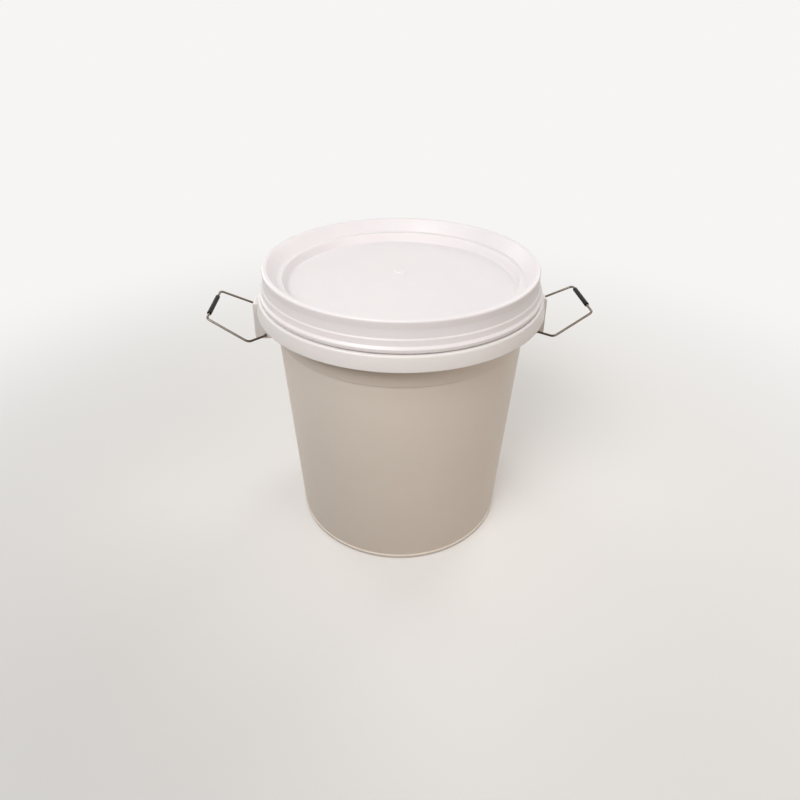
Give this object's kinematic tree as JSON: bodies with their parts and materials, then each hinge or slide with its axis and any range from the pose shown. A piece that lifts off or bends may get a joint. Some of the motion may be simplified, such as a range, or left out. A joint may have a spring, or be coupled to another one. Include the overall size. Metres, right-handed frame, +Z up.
{
  "type": "plastic bucket",
  "caption": "Tall round pail with a tapered body, a collar under the rim, a press-on recessed lid, and small wire side handles with sleeve grips.",
  "frame": {"origin": "centre of the base, on the surface that the pail stands on", "axes": "+Z up along the pail's axis, +X towards the right-hand handle, +Y to the back"},
  "size_m": [0.4268, 0.3216, 0.3336],
  "materials": {
    "body_plastic": "moulded polypropylene, slightly translucent white with a warm tint",
    "lid_plastic": "moulded polypropylene, opaque white",
    "wire": "drawn steel wire, zinc plated",
    "grip_plastic": "black sleeve"
  },
  "bodies": {
    "bucket": {"bucket": "body_plastic"},
    "lid": {"lid": "lid_plastic"},
    "bail_left": {"bail_left": "wire"},
    "bail_right": {"bail_right": "wire"},
    "grip_left": {"grip_left": "grip_plastic"},
    "grip_right": {"grip_right": "grip_plastic"}
  },
  "joints": [
    {"name": "lid_lift", "type": "slide", "parent": "bucket", "child": "lid", "axis": [0, 0, 1], "range_m": [0, 0.1]},
    {"name": "bail_left_swing", "type": "hinge", "parent": "bucket", "child": "bail_left", "pos_m": [-0.15501, 0, 0.2516], "axis": [0, 1, 0], "range_deg": [-130, 53.5]},
    {"name": "bail_right_swing", "type": "hinge", "parent": "bucket", "child": "bail_right", "pos_m": [0.15501, 0, 0.2516], "axis": [0, -1, 0], "range_deg": [-130, 53.5]},
    {"name": "grip_left_spin", "type": "hinge", "parent": "bail_left", "child": "grip_left", "pos_m": [-0.21092, 0, 0.28336], "axis": [0, 1, 0], "continuous": true},
    {"name": "grip_right_spin", "type": "hinge", "parent": "bail_right", "child": "grip_right", "pos_m": [0.21092, 0, 0.28336], "axis": [0, -1, 0], "continuous": true}
  ]
}
